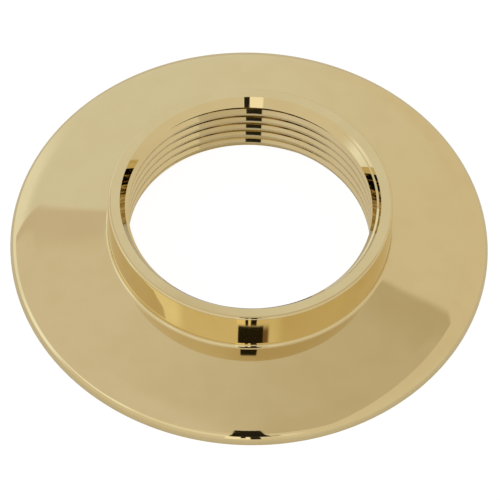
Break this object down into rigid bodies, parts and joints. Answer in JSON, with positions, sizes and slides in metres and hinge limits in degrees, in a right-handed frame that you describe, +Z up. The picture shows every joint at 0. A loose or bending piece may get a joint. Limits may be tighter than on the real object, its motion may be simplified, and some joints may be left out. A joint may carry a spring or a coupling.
{
  "type": "faucet handle flange",
  "caption": "Round polished brass flange for a faucet handle: a low coned skirt with a rounded rim, an upright collar and a threaded bore open right through.",
  "frame": {"origin": "on the bore's axis, in the seat plane that the flange stands on", "axes": "+Z up along the bore's axis, out of the collar's mouth; X and Y lie in the seat plane, and the piece is the same all round"},
  "size_m": [0.06, 0.06, 0.0094],
  "materials": {
    "polished_brass": "mirror polished outside, as turned inside"
  },
  "bodies": {
    "root": {"handle_flange": "polished_brass"}
  },
  "joints": []
}
